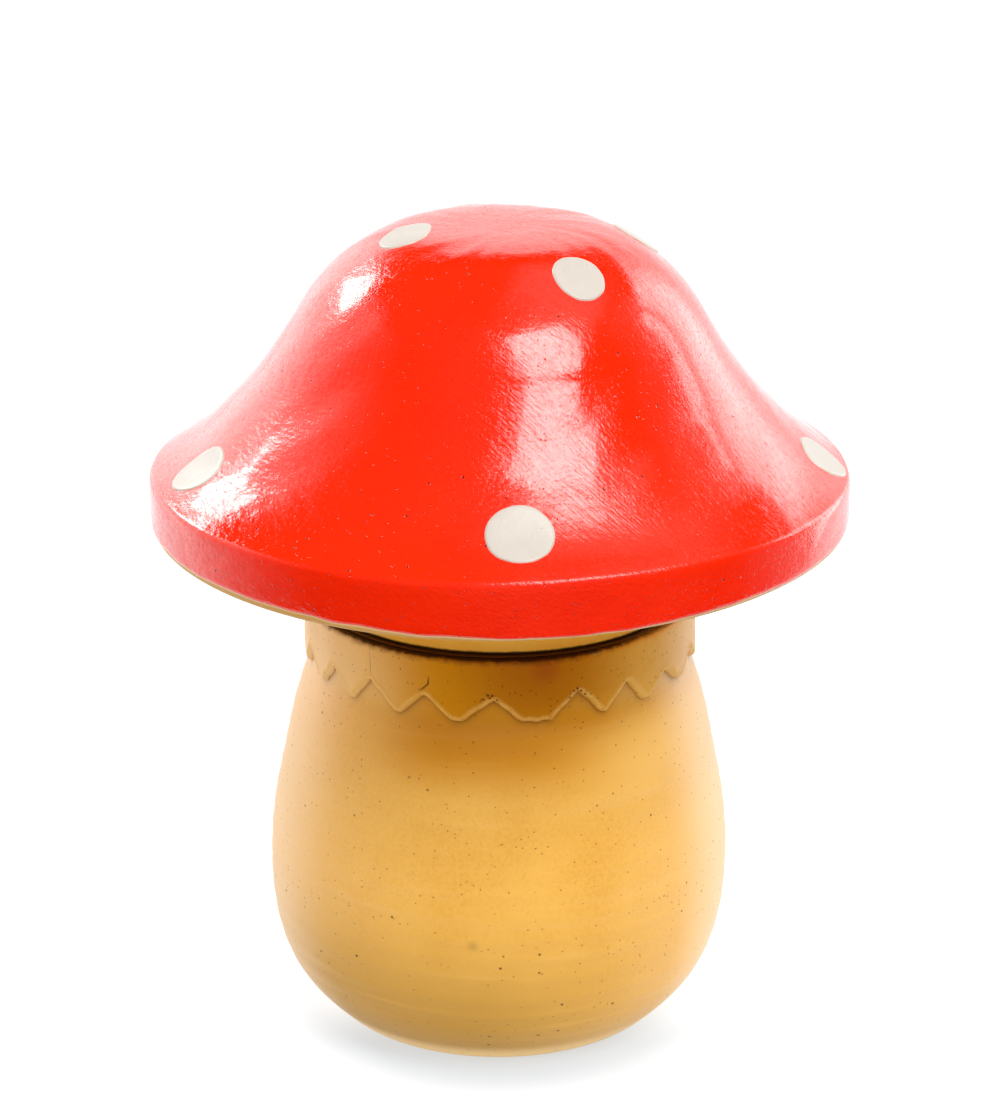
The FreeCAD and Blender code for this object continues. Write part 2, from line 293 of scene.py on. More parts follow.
def cap_section():
    """Whole section of the cap, from its crown over the brim to the middle of its inside."""
    bell = bell_outside()
    turn = np.linspace(0, 1, 40)[:, None]
    bulge = (band_radius - brim_radius) * (1 - np.abs(2 * turn - 1) ** 4)
    band = np.hstack([brim_radius + bulge, crease_height - turn * band_height])
    under = (bell - square_to(bell) * cap_wall)[::-3]
    under = under[(under[:, 0] < plate_radius) & (under[:, 0] > 0.5)]
    under = np.vstack([(plate_radius, under[0, 1]), under])
    under = np.vstack([under, (0, under[-1, 1])])
    line = joined(bell, band, crease_round)
    line = joined(line, straight(line[-1], (plate_radius, brim_height), 0.4), band_edge)
    wall = straight((plate_radius, brim_height), under[0], 0.8)
    line = joined(line, wall, 0.3, 3)
    return np.vstack([line, under[1:]])


cap_line = cap_section()
cap_place = lengths(cap_line)
cap_normal = square_to(cap_line)
crease_place = cap_place[np.argmin(np.linalg.norm(cap_line - (brim_radius, crease_height), axis=1))]
lip_place = cap_place[np.argmin(np.linalg.norm(cap_line - (brim_radius, brim_height), axis=1))]


def paint_edge(angle):
    """Height at which the red glaze ends above the bare lip of the band."""
    wave = 0.33 * (hump(angle, 38, 14) - np.cos(3 * (angle - math.radians(9))))
    return brim_height + 0.42 + wave + wobble(angle, 5, 0.06, 9, 60)


def lip_wave(angle):
    """How far the bottom of the band is off its even height."""
    return 0.33 * (hump(angle, 48, 24) - hump(angle, -15, 40))


def dents(place, angle):
    """Slight hollows and swellings that the hand left in the bell, in millimetres."""
    random = np.random.default_rng(77)
    spread = smooth_step(place, 2, 14)
    total = 0 * place * angle
    for waves in (3, 4, 5, 7, 9, 11, 14, 17, 21, 26):
        along = random.uniform(0.12, 0.75)
        start = random.uniform(0, 2 * math.pi)
        total = total + dent_size / math.sqrt(waves) * np.cos(waves * angle + along * place + start)
    ledge = smooth_step(place, ledge_place - 0.8, ledge_place + 0.8)
    ledge = ledge * (1 - smooth_step(place, ledge_place + 1, ledge_place + 9))
    return total * spread - ledge_depth * ledge * hump(angle, 20, 40)


def crease_wave(angle):
    """How far the crease is off its even height. It dips at the back."""
    front = 0.25 * np.sin(3 * angle + math.radians(8)) + 0.3 * hump(angle, 5, 35) + 0.3 * hump(angle, -38, 18)
    return front - 0.95 * hump(angle, -125, 38) - 0.45 * hump(angle, 125, 40)


def cap_surface(place, angle):
    """Points of the cap at places along its section, and their height above the paint's edge."""
    radius = np.interp(place, cap_place, cap_line[:, 0])
    height = np.interp(place, cap_place, cap_line[:, 1])
    out = np.interp(place, cap_place, cap_normal[:, 0])
    up = np.interp(place, cap_place, cap_normal[:, 1])
    near_crease = np.exp(-((place - crease_place) / 3.2) ** 2)
    past_lip = smooth_step(place, lip_place, lip_place + 3.5)
    near_lip = smooth_step(place, crease_place + 1.0, lip_place) * (1 - past_lip)
    height = height + near_crease * crease_wave(angle) + near_lip * lip_wave(angle)
    radius = radius + (near_lip + near_crease) * wobble(angle, 11, 0.06)
    outside = 1 - smooth_step(place, lip_place - 1, lip_place)
    dent = dents(place, angle) * outside
    radius = radius + out * dent
    height = height + up * dent
    above = np.where(place < lip_place + 0.2, height - paint_edge(angle), -1.0)
    layer = paint_thickness * smooth_step(above, 0, 0.3)
    return placed(radius + out * layer, height + up * layer, angle), above


# Where the camera sees a point of the object

def outline_radius(height):
    """Radius of the outside of the jar or of the cap at a height."""
    jar = jar_outside()[::-1]
    cap = cap_line[cap_place < lip_place][::-1]
    on_jar = np.interp(height, jar[:, 1], jar[:, 0], left=0, right=0)
    on_cap = np.interp(height, cap[:, 1], cap[:, 0], left=0, right=0)
    collar = np.where((height > collar_foot) & (height < collar_top), collar_thickness, 0)
    return np.maximum(on_jar + collar, on_cap)


def seen_at(across, down):
    """Point of the object that the photograph shows at a pixel."""
    drop = math.radians(camera_drop)
    right = np.array([1.0, 0.0, 0.0])
    forward = np.array([0.0, math.cos(drop), -math.sin(drop)])
    upward = np.array([0.0, math.sin(drop), math.cos(drop)])
    ray = forward + right * (across - photo_width / 2) / camera_focal
    ray = ray - upward * (down - photo_height / 2) / camera_focal
    reach = np.arange(300.0, 520.0, 0.02)[:, None]
    points = camera_place + ray * reach
    radius = np.hypot(points[:, 0], points[:, 1])
    inside = radius < outline_radius(points[:, 2])
    return points[np.argmax(inside)]


# Meshes

def piece(name, grid, marks, finish, body, nodes, closed=False):
    """Piece with a skin over rows of points that run round it.

    Unless the rows close in a loop, the first row and the last are single points."""
    rows = grid if closed else grid[1:-1]
    count, columns = rows.shape[:2]
    index = np.arange(count * columns).reshape(count, columns)
    upper = index if closed else index[:-1]
    lower = np.roll(index, -1, axis=0) if closed else index[1:]
    beside = [upper, lower, np.roll(lower, -1, axis=1), np.roll(upper, -1, axis=1)]
    faces = np.stack(beside, axis=-1).reshape(-1, 4).tolist()
    points = rows.reshape(-1, 3)
    values = {mark: (value if closed else value[1:-1]).reshape(-1) for mark, value in marks.items()}
    if not closed:
        first, last = len(points), len(points) + 1
        points = np.vstack([points, grid[0].mean(axis=0), grid[-1].mean(axis=0)])
        values = {mark: np.append(value, [marks[mark][0, 0], marks[mark][-1, 0]])
                  for mark, value in values.items()}
        for j in range(columns):
            k = (j + 1) % columns
            faces.append((first, int(index[0, j]), int(index[0, k])))
            faces.append((int(index[-1, j]), last, int(index[-1, k])))
    mesh = bpy.data.meshes.new(name)
    mesh.from_pydata((points / metre).tolist(), [], faces)
    mesh.polygons.foreach_set("use_smooth", [True] * len(mesh.polygons))
    for mark, value in values.items():
        mesh.attributes.new(mark, "FLOAT", "POINT").data.foreach_set("value", value.astype(np.float32))
    mesh.materials.append(finish)
    made = bpy.data.objects.new(name, mesh)
    bpy.context.scene.collection.objects.link(made)
    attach(made, body)
    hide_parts(*nodes)


# Nodes of the finishes

class Signal:
    """Output of a shader node. A sum or product with it adds a node."""

    def __init__(self, nodes, socket):
        self.nodes = nodes
        self.socket = socket

    def maths(self, operation, *values):
        vector = False
        for value in values:
            if isinstance(value, tuple) or (isinstance(value, Signal) and value.socket.type == "VECTOR"):
                vector = True
        kind = "ShaderNodeVectorMath" if vector else "ShaderNodeMath"
        output = 1 if operation in ("DOT_PRODUCT", "LENGTH", "DISTANCE") else 0
        return self.nodes.node(kind, {"operation": operation}, dict(enumerate(values)), output)

    def __add__(self, other):
        return self.maths("ADD", self, other)

    def __radd__(self, other):
        return self.maths("ADD", other, self)

    def __sub__(self, other):
        return self.maths("SUBTRACT", self, other)

    def __rsub__(self, other):
        return self.maths("SUBTRACT", other, self)

    def __mul__(self, other):
        return self.maths("MULTIPLY", self, other)

    def __rmul__(self, other):
        return self.maths("MULTIPLY", other, self)

    def __truediv__(self, other):
        return self.maths("DIVIDE", self, other)

    def __rtruediv__(self, other):
        return self.maths("DIVIDE", other, self)

    def __pow__(self, other):
        return self.maths("POWER", self, other)

    def least(self, other):
        return self.maths("MINIMUM", self, other)

    def most(self, other):
        return self.maths("MAXIMUM", self, other)

    def dot(self, other):
        return self.maths("DOT_PRODUCT", self, other)

    def length(self):
        return self.maths("LENGTH", self, (0, 0, 0))

    def part(self, index):
        return self.nodes.node("ShaderNodeSeparateXYZ", {}, {0: self}, index)

    def rise(self, low, high):
        """0 below the low value, 1 above the high one and smooth between them."""
        settings = {"interpolation_type": "SMOOTHSTEP"}
        return self.nodes.node("ShaderNodeMapRange", settings, {0: self, 1: low, 2: high, 3: 0, 4: 1})

    def fall(self, low, high):
        return 1 - self.rise(low, high)


class Nodes:
    """Node tree of a material or of the world."""

    def __init__(self, owner):
        owner.use_nodes = True
        self.owner = owner
        self.tree = owner.node_tree

    def node(self, kind, settings, sockets, output=0):
        made = self.tree.nodes.new(kind)
        for name, value in settings.items():
            setattr(made, name, value)
        for name, value in sockets.items():
            self.put(made.inputs[name], value)
        return Signal(self, made.outputs[output])

    def put(self, socket, value):
        """Links a socket, or sets its own value."""
        if isinstance(value, Signal):
            self.tree.links.new(value.socket, socket)
        elif hasattr(socket.default_value, "__len__") and not hasattr(value, "__len__"):
            socket.default_value = [value] * len(socket.default_value)
        else:
            socket.default_value = value

    def point(self):
        """Place on the piece, in millimetres."""
        return self.node("ShaderNodeTexCoord", {}, {}, "Object") * (metre, metre, metre)

    def mark(self, name):
        return self.node("ShaderNodeAttribute", {"attribute_name": name}, {}, "Fac")

    def noise(self, place, size, detail=2.0, roughness=0.5):
        """Noise about 0, from -1 to 1, with blobs of a size in millimetres."""
        sockets = {"Vector": place, "Scale": 1 / size, "Detail": detail, "Roughness": roughness}
        return self.node("ShaderNodeTexNoise", {}, sockets, 0) * 2 - 1

    def dots(self, place, size, share, radius):
        """Small round dots in a share of the cells of a size, 1 in the middle of each dot."""
        sockets = {"Vector": place, "Scale": 1 / size, "Randomness": 1.0}
        away = self.node("ShaderNodeTexVoronoi", {}, sockets, "Distance")
        cell_colour = Signal(self, away.socket.node.outputs["Color"])
        chance = self.node("ShaderNodeSeparateColor", {}, {0: cell_colour})
        kept = chance.fall(share - 0.01, share)
        wide = radius / size
        return away.fall(wide * 0.4, wide) * kept

    def along(self, place, direction):
        """Part of a place that lies along a direction."""
        share = place.dot(direction)
        return self.node("ShaderNodeVectorMath", {"operation": "SCALE"}, {0: direction, "Scale": share})

    def blend(self, factor, first, second):
        """Colour between two, by a factor."""
        return self.node("ShaderNodeMix", {"data_type": "RGBA"}, {0: factor, 6: first, 7: second}, 2)

    def scratch(self, place, start, end, width):
        """Narrow mark from one pixel of the photograph to another, 1 in its middle."""
        start, end = seen_at(*start), seen_at(*end)
        along = end - start
        from_start = place - tuple(start)
        share = (from_start.dot(tuple(along)) / float(along @ along)).most(0).least(1)
        return (from_start - tuple(along) * share).length().fall(width * 0.3, width)

    def patch(self, place, middle, radius):
        """Soft round patch at a pixel of the photograph, 1 in its middle."""
        return (place - tuple(seen_at(*middle))).length().fall(0, radius)


def tone(red, green, blue):
    """Colour from its usual three numbers."""
    shares = [value / 255 for value in (red, green, blue)]
    return [share / 12.92 if share < 0.04 else ((share + 0.055) / 1.055) ** 2.4 for share in shares] + [1.0]


def finish(name):
    """New material, its nodes and its shader."""
    material = bpy.data.materials.new(name)
    nodes = Nodes(material)
    return nodes, nodes.tree.nodes["Principled BSDF"]


def glaze(nodes, shader, colour, roughness, relief, plain):
    """Connects what varies over a finish, and sets what doesn't. The relief is in millimetres."""
    nodes.put(shader.inputs["Base Color"], colour)
    nodes.put(shader.inputs["Roughness"], roughness)
    bump = nodes.node("ShaderNodeBump", {}, {"Strength": 1.0, "Distance": 1 / metre, "Height": relief})
    nodes.put(shader.inputs["Normal"], bump)
    for name, value in plain.items():
        nodes.put(shader.inputs[name], value)
    return nodes.owner


def slip_colour(nodes, place):
    """Ochre slip, with painted shade deepest at the front of the neck and low down, a painted pool of light
    under the cap on the right, and painted light palest at both sides and above the foot.
    """
    cloud = nodes.noise(place, 9.0, 3.0)
    grain = nodes.noise(place, 0.4, 3.0, 0.6)
    colour = nodes.blend(cloud * 0.7 + 0.5 + grain * 0.9, tone(218, 158, 60), tone(233, 179, 84))
    height = place.part(2)
    side = place.part(0) / (place * (1, 1, 0)).length().most(1)
    front = side - 0.03
    # Painted shade: the colour deepens to amber at the front of the neck, where the cap's shade falls
    painted_neck_shade = height.rise(36, 43) * (front * front).fall(0.06, 0.55)
    colour = nodes.blend(painted_neck_shade + (cloud + grain) * 0.1, colour, tone(208, 137, 0))
    # Painted light: a paler pool on the right, just under the cap's shade
    lit = height.rise(33, 41) * height.fall(42, 46) * side.rise(0.1, 0.7)
    colour = nodes.blend(lit * 0.5, colour, tone(255, 204, 104))
    # Painted shade: darker and more olive low down on the bulb
    low = height.fall(6, 26) * side.fall(-0.2, 1.1)
    colour = nodes.blend(low * 0.85 + grain * 0.15, colour, tone(170, 124, 34))
    # Painted light: paler towards both sides, where the sides catch light
    pale = side.fall(-0.95, -0.25) * height.rise(10, 26) * 0.8
    pale = pale + side.rise(0.3, 0.95) * height.fall(40, 46) * 0.7
    colour = nodes.blend(pale * 0.32, colour, tone(244, 202, 146))
    # Painted reflection: the far edges of both sides paler still, as a sheen
    colour = nodes.blend(side.fall(-1.0, -0.7) * 0.5, colour, tone(250, 214, 170))
    colour = nodes.blend(side.rise(0.72, 1.0) * 0.5, colour, tone(252, 222, 184))
    # Painted light: a pale band just above the foot, standing in for light bounced off the floor
    return nodes.blend(height.fall(0.8, 3.4) * 0.9, colour, tone(252, 208, 134))


def ochre_slip():
    """Slip of the jar, with throwing rings, pits, a stain and a short scratch."""
    nodes, shader = finish("ochre_slip")
    place = nodes.point()
    colour = slip_colour(nodes, place)
    rings = nodes.noise(place * (0.05, 0.05, 1.0), 1.4, 3.0)
    colour = nodes.blend(rings.rise(0.05, 0.8) * 0.2, colour, tone(246, 202, 130))
    tiny = nodes.dots(place, 0.8, 0.4, 0.15)
    pits = nodes.dots(place, 2.2, 0.45, 0.23) * nodes.noise(place, 14.0, 1.0).rise(-0.4, 0.2)
    colour = nodes.blend((pits + tiny * 0.6).least(1) * 0.9, colour, tone(96, 52, 10))
    stain = nodes.patch(place, (473, 946), 1.1) * 0.35
    line = nodes.scratch(place, (326, 817), (334, 828), 0.12)
    colour = nodes.blend((stain + line * 0.8).least(1), colour, tone(120, 92, 20))
    # Painted shade from the shade mark: a dark line under the teeth and a dark rim top in the gap under the
    # lid
    colour = nodes.blend(nodes.mark("shade") * 0.95, colour, tone(60, 28, 8))
    relief = rings * 0.025 + nodes.noise(place, 0.45, 3.0) * 0.016
    relief = relief - pits * 0.08 - tiny * 0.04 - line * 0.05
    roughness = nodes.noise(place, 5.0, 2.0) * 0.06 + 0.42
    return glaze(nodes, shader, colour, roughness, relief,
                 {"Specular IOR Level": 0.22, "Coat Weight": 0.12, "Coat Roughness": 0.32})


def ochre_collar():
    """Slip of the collar, rubbed pale along the teeth with a painted highlight, with cracks, crowded pits and
    a rim darkened by painted shade.
    """
    nodes, shader = finish("ochre_collar")
    place = nodes.point()
    colour = slip_colour(nodes, place)
    ridge = nodes.mark("ridge")
    grain = nodes.noise(place, 0.4, 3.0, 0.6)
    side = place.part(0) / neck_radius
    # Painted light: the left side of the collar paler, as if lit from the left
    colour = nodes.blend(side.fall(-0.95, -0.35) * 0.4, colour, tone(250, 212, 160))
    # Painted shade: a darker patch at the front of the collar, under the cap
    painted_front_shade = nodes.patch(place, (535, 668), 14.0)
    colour = nodes.blend(painted_front_shade * 0.6, colour, tone(150, 68, 0))
    # Pale along the cut edge of the teeth: partly rubbed slip, partly a painted highlight made stronger on
    # the right
    right = side.rise(0.4, 0.8)
    patchy_edge = ridge * (nodes.noise(place, 1.5, 2.0) * 0.5 + grain * 0.5 + 0.7 + right * 0.4)
    colour = nodes.blend(patchy_edge.rise(0.05, 1.0) * 0.7, colour, tone(230, 180, 92))
    tiny = nodes.dots(place, 0.8, 0.5, 0.16)
    crowded = (nodes.patch(place, (490, 702), 1.7) + nodes.patch(place, (578, 696), 1.9)).least(1)
    pits = nodes.dots(place, 0.5, 0.9, 0.21) * crowded.rise(0.1, 0.5)
    colour = nodes.blend((pits + tiny * 0.7).least(1) * 0.85, colour, tone(80, 42, 10))
    cracks = (nodes.scratch(place, (370, 646), (371, 672), 0.10) * 0.6
              + nodes.scratch(place, (431, 655), (428, 684), 0.14)
              + nodes.scratch(place, (428, 684), (417, 693), 0.14)
              + nodes.scratch(place, (498, 660), (522, 661), 0.12)
              + nodes.scratch(place, (522, 661), (550, 658), 0.10) * 0.7)
    colour = nodes.blend(cracks.least(1) * 0.75, colour, tone(92, 50, 10))
    colour = nodes.blend(nodes.patch(place, (546, 670), 2.6) * 0.4, colour, tone(160, 58, 14))
    # Painted highlight along the outer top edge of the collar on the right
    painted_rim_highlight = nodes.scratch(place, (590, 655), (650, 640), 0.28) * nodes.noise(place, 0.8, 2.0).rise(-0.3, 0.3)
    colour = nodes.blend(painted_rim_highlight * 0.55, colour, tone(232, 190, 110))
    # Painted shade: near black in the gap under the lid, over the collar's top and rounded edge, thinner to
    # the right
    painted_gap_shade = nodes.mark("shade") - side.rise(0.25, 0.85) * 0.35 + nodes.noise(place, 0.9, 3.0) * 0.25
    colour = nodes.blend(painted_gap_shade.rise(0.2, 0.9) * 0.98, colour, tone(36, 11, 5))
    relief = nodes.noise(place, 1.8, 2.0) * 0.05 + grain * 0.02 - pits * 0.1 - cracks * 0.08
    roughness = nodes.noise(place, 5.0, 2.0) * 0.06 + 0.42
    return glaze(nodes, shader, colour, roughness, relief, {"Specular IOR Level": 0.08})


def bare_clay():
    """Slip rubbed thin on the ring and the plate under the cap, with painted shade where the lid rests."""
    nodes, shader = finish("thin_slip")
    place = nodes.point()
    cloud = nodes.noise(place, 5.0, 3.0) + nodes.noise(place, 0.6, 3.0, 0.6) * 0.5
    colour = nodes.blend(cloud * 0.6 + 0.5, tone(250, 180, 54), tone(255, 204, 88))
    rings = nodes.noise(place * (0.08, 0.08, 1.0), 1.2, 3.0)
    pits = nodes.dots(place, 1.5, 0.35, 0.14)
    colour = nodes.blend(pits * 0.8, colour, tone(86, 50, 20))
    height = place.part(2) + nodes.noise(place, 1.0, 3.0) * 0.12
    # Painted shade: near black at the foot of the ring, in the gap where the lid rests on the jar
    painted_seat_shade = height.fall(seat_height + 0.3, seat_height + 0.6)
    painted_seat_shade = painted_seat_shade * height.rise(seat_height - 1.5, seat_height - 0.3)
    colour = nodes.blend(painted_seat_shade * 0.95, colour, tone(48, 20, 8))
    relief = rings * 0.03 + nodes.noise(place, 0.5, 3.0) * 0.01 - pits * 0.05
    roughness = nodes.noise(place, 4.0, 2.0) * 0.07 + 0.5
    return glaze(nodes, shader, colour, roughness, relief, {"Specular IOR Level": 0.15})


def red_glaze():
    """Red glaze of the cap with brush marks, over slip that shows along the lip of the band."""
    nodes, shader = finish("red_glaze")
    place = nodes.point()
    above = nodes.mark("paint")
    covered = above.rise(0.0, 0.12)
    cloud = nodes.noise(place, 12.0, 3.0)
    red = nodes.blend(cloud * 0.6 + 0.5, tone(248, 33, 1), tone(255, 43, 0))
    tiny = nodes.dots(place, 0.8, 0.45, 0.14)
    pits = nodes.dots(place, 2.2, 0.5, 0.22)
    specks = nodes.dots(place, 0.42, 0.5, 0.12)
    red = nodes.blend((pits + tiny * 0.6 + specks * 0.25).least(1) * 0.85, red, tone(90, 12, 8))
    band = place.part(2).fall(crease_height - 1.2, crease_height - 0.2)
    blotch = nodes.noise(place * (1.0, 1.0, 1.8), 3.2, 3.0, 0.6).rise(-0.1, 0.6)
    red = nodes.blend(band * blotch * 0.3, red, tone(232, 22, 0))
    lip = nodes.blend(above.rise(-0.24, -0.04), tone(216, 158, 66), tone(236, 196, 136))
    colour = nodes.blend(covered, lip, red)
    stroke = (0.77, -0.41, -0.49)
    brushed = nodes.noise(place - nodes.along(place, stroke) * 0.88, 0.3, 2.0)
    circled = nodes.noise(place * (0.12, 0.12, 1.0), 0.45, 2.0)
    peel = nodes.noise(place, 2.6, 2.0) * 0.03 + nodes.noise(place, 0.6, 3.0, 0.6) * 0.022
    left, right = place.part(0).fall(-26, -10), place.part(0).rise(14, 22)
    smear = nodes.noise(place * (0.35, 0.35, 1.0), 0.9, 3.0) * (left * 0.07 + right * 0.03)
    peel = peel + smear + circled * place.part(2).rise(94, 98) * 0.03
    scuffed = place.part(2).fall(73, 80) * place.part(0).rise(-8, 4) * place.part(0).fall(20, 30)
    relief = peel + brushed * (scuffed * 0.02 + 0.018) + circled * 0.012
    relief = relief - pits * 0.08 - tiny * 0.05 - specks * 0.01
    roughness = 0.44 - covered * 0.31 + nodes.noise(place, 0.7, 2.0) * 0.05 + scuffed * 0.12
    coat = covered * (brushed * 0.7 + 0.5) - scuffed * 0.42 - (specks + tiny + pits) * 0.4
    nodes.put(shader.inputs["Coat Weight"], coat.most(0))
    return glaze(nodes, shader, colour, roughness, relief, {"Coat Roughness": 0.08})


def white_glaze():
    """White glaze of the spots, with painted shade in pink along their edges."""
    nodes, shader = finish("white_glaze")
    place = nodes.point()
    depth = nodes.mark("depth")
    cloud = nodes.noise(place, 2.2, 2.0)
    white = nodes.blend(cloud * 0.5 + 0.5, tone(200, 190, 178), tone(208, 199, 188))
    tiny = nodes.dots(place, 0.9, 0.2, 0.1)
    white = nodes.blend(tiny * 0.6, white, tone(150, 110, 90))
    # Painted shade: the dab's edge goes pink in patches where it meets the red
    patchy_edge = nodes.noise(place, 2.0, 2.0).rise(-0.3, 0.4)
    edge = nodes.blend(patchy_edge, tone(206, 196, 186), tone(204, 150, 130))
    colour = nodes.blend(depth.rise(0.1, 0.55), edge, white)
    relief = nodes.noise(place, 0.5, 2.0) * 0.014
    roughness = cloud * 0.05 + 0.32
    return glaze(nodes, shader, colour, roughness, relief, {"Specular IOR Level": 0.45})


# Pieces

def make_cap(finish):
    angle = around(cap_columns)[None, :]
    place = cap_place[:, None]
    grid, above = cap_surface(place, angle)
    piece("cap", grid, {"paint": above}, finish, "lid", ["lid_cap"])


def spot(name, node, middle_angle, middle_radius, length, width, lean, uneven, finish):
    """Oval dab of thick glaze on the cap. Its lean is how far it is turned from level, in degrees."""
    turn = around(spot_columns)[None, :]
    out = np.array(spot_out_shares)[:, None]
    rise = np.array(spot_rise_shares)[:, None]
    outline = 1 + sum(size * np.cos(waves * (turn - math.radians(at))) for waves, size, at in uneven)
    outline = outline + wobble(turn, len(name) + int(middle_radius), 0.006, 5, 14)
    lean = math.radians(lean)
    long_way = out * outline * np.cos(turn) * length / 2
    short_way = out * outline * np.sin(turn) * width / 2
    across = long_way * math.cos(lean) - short_way * math.sin(lean)
    down = long_way * math.sin(lean) + short_way * math.cos(lean)
    on_bell = cap_place < crease_place
    place = np.interp(middle_radius, cap_line[on_bell, 0], cap_place[on_bell]) + down
    radius = np.interp(place, cap_place, cap_line[:, 0])
    normal_out = np.interp(place, cap_place, cap_normal[:, 0])
    normal_up = np.interp(place, cap_place, cap_normal[:, 1])
    angle = math.radians(middle_angle) + across / radius
    base = cap_surface(place, angle)[0]
    lift = rise * spot_thickness
    grid = base + placed(normal_out * lift, normal_up * lift, angle)
    depth = np.broadcast_to(np.clip(rise, 0, 1), lift.shape) + 0 * angle
    piece(name, grid, {"depth": depth}, finish, "lid", [node])


def tooth_edge(columns):
    """Height of the collar's lower edge, all the way round."""
    degree_per_share = 360 / sum(tooth_width_shares)
    half_tip = math.degrees(tooth_tip_width / 2 / (neck_radius + collar_thickness))
    half_tips = half_tip * np.array(tip_width_shares)
    next_halves = np.roll(half_tips, -1)
    notches = zip(tooth_width_shares, notch_depth_shares, notch_peak_shares, half_tips, next_halves)
    zigzag = []
    angle = first_tip_angle
    for width, depth, peak, half, next_half in notches:
        gap = width * degree_per_share
        zigzag.append((angle + half, collar_foot))
        zigzag.append((angle + peak * gap, collar_foot + depth * tooth_length))
        zigzag.append((angle + gap - next_half, collar_foot))
        angle = angle + gap
    zigzag = np.array(zigzag)
    degrees = np.degrees(around(columns))
    edge = np.interp(degrees, zigzag[:, 0], zigzag[:, 1], period=360)
    reach = range(-5, 6)
    weights = np.array([math.exp(-(step / 2.6) ** 2) for step in reach])
    smooth = sum(weight * np.roll(edge, step) for weight, step in zip(weights, reach)) / weights.sum()
    return smooth + wobble(np.radians(degrees), 21, 0.08, 24, 110)


def make_collar(finish):
    """Collar with its teeth. Each point of its face knows how far it is from the cut edge."""
    angle = around(collar_columns)[None, :]
    edge = tooth_edge(collar_columns)
    column_step = math.radians(360 / collar_columns) * (neck_radius + collar_thickness)
    top = np.full((1, collar_columns), collar_top)
    share = np.concatenate([np.linspace(0, 0.4, 5), np.linspace(0.43, 1, 32)])[:, None]
    height = (top - collar_edge) + (edge - (top - collar_edge)) * share
    away = np.full(height.shape, 99.0)
    for step in range(-40, 41):
        gap = np.hypot(step * column_step, height - np.roll(edge, step))
        away = np.minimum(away, gap)
    cut = np.sqrt(1 - (1 - np.clip(away / tooth_bevel, 0, 1)) ** 2)
    # The band along the cut edge swells the slip there; its ridge mark makes the slip pale, partly rubbed and
    # partly a painted highlight
    rubbed = np.exp(-((away - 0.48) / 0.42) ** 2)
    swell = wobble(angle, 31, 0.05, 3, 24) + 0.1 * rubbed
    face = neck_radius + (collar_thickness + swell) * (0.2 + 0.8 * cut)
    turn = np.linspace(0, math.pi / 2, 6)[:-1, None]
    round_radius = face[:1] - collar_edge * (1 - np.sin(turn))
    round_height = top - collar_edge * (1 - np.cos(turn))
    inner = np.full((1, collar_columns), neck_radius - 0.3)
    radius = np.vstack([inner, round_radius, face, inner])
    height = np.vstack([top, round_height, height, edge[None, :]])
    ridge = np.vstack([0 * top, 0 * round_height, rubbed, 0 * top])
    # The shade mark paints shade: full on the collar's top, less over its rounded edge, fading down its face
    fade = 0.4 * np.exp(-(top - collar_edge - height[len(turn) + 1:-1]) / 0.35)
    shade = np.vstack([1 + 0 * top, 0.4 + 0.6 * np.cos(turn) ** 2 + 0 * top, fade, 1 + 0 * top])
    grid = placed(radius, height, angle)
    piece("toothed_collar", grid, {"ridge": ridge, "shade": shade}, finish, "jar",
          ["tooth_collar"], closed=True)


def make_jar(finish):
    """Jar, hollow, with painted shade in a dark line under the teeth and on its rim."""
    line = jar_section()
    angle = around(jar_columns)[None, :]
    radius = line[:, :1] + 0 * angle
    height = line[:, 1:] + 0 * angle
    outward = square_to(line)[:, :1]
    lean = -jar_lean * (1 - smooth_step(height, 0, 50))
    rings = ring_depth * np.sin(height * 2.3 + 0.6 * np.sin(height * 0.7) + angle) * smooth_step(height, 3, 8)
    rings = rings * (1 - smooth_step(height, collar_foot - 4, collar_foot))
    uneven = (wobble(angle, 41, jar_unevenness, 2, 5) + jar_swelling) * smooth_step(height, 1, 10)
    uneven = uneven * (1 - smooth_step(height, collar_foot - 8, collar_foot))
    radius = radius + outward * (rings + uneven) * (radius > mouth_radius)
    # The shade mark paints shade under the teeth and on the rim top, in the gap under the lid
    below_teeth = np.clip(tooth_edge(jar_columns)[None, :] - height, 0, None)
    painted_rim_shade = smooth_step(height, seat_height - 1.2, seat_height - 0.2)
    shade = np.exp(-below_teeth / 0.35) * 0.5 + painted_rim_shade
    shade = np.where(radius > mouth_radius + 1, shade, 0)
    grid = placed(radius, height, angle)
    grid[..., 0] += lean
    piece("jar", grid, {"shade": np.clip(shade, 0, 1)}, finish, "jar", ["jar_body"])


slip_finish = ochre_slip()
collar_finish = ochre_collar()
clay_finish = bare_clay()
red_finish = red_glaze()
white_finish = white_glaze()

make_jar(slip_finish)
make_collar(collar_finish)
make_cap(red_finish)
# The hidden plate and the ring keep the solids' own shapes
for node in ("lid_underside", "seat_ring"):
    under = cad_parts[node]
    under.data.materials.clear()
    under.data.materials.append(clay_finish)

